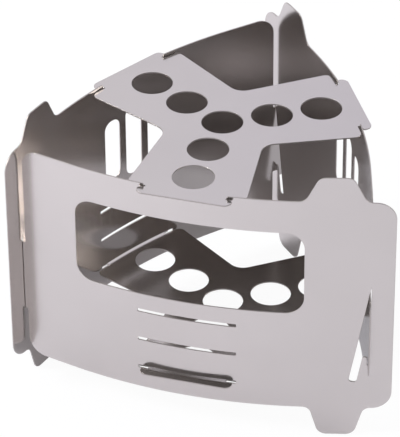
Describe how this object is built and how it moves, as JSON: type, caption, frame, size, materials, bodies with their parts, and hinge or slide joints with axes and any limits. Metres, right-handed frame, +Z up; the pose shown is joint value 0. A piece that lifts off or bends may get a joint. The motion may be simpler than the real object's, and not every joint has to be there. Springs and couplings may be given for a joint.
{
  "type": "twig stove",
  "caption": "Flat-pack twig stove of thin stainless sheet: bowed sides hooked together at the corners round a Y-shaped pot plate and fire grate, with feed window, vents, pot rests and feet.",
  "frame": {"origin": "on the ground plane under the feet, in the middle of the overall box; the stove's upright axis stands 2.8 mm towards -X and 17.7 mm towards -Y of it", "axes": "+Z up along the stove's axis, -Y out through the feed window, +X to the right as seen from the window side"},
  "size_m": [0.1686, 0.1578, 0.133],
  "materials": {
    "stainless_sheet": "cold-rolled mill finish, half mirror"
  },
  "bodies": {
    "stove": {"front_panel": "stainless_sheet", "left_panel": "stainless_sheet", "right_panel": "stainless_sheet", "fire_grate": "stainless_sheet"},
    "top_plate": {"top_plate": "stainless_sheet"}
  },
  "joints": [
    {"name": "top_plate_lift", "type": "slide", "parent": "stove", "child": "top_plate", "axis": [0, 0, 1], "range_m": [0, 0.06]}
  ]
}
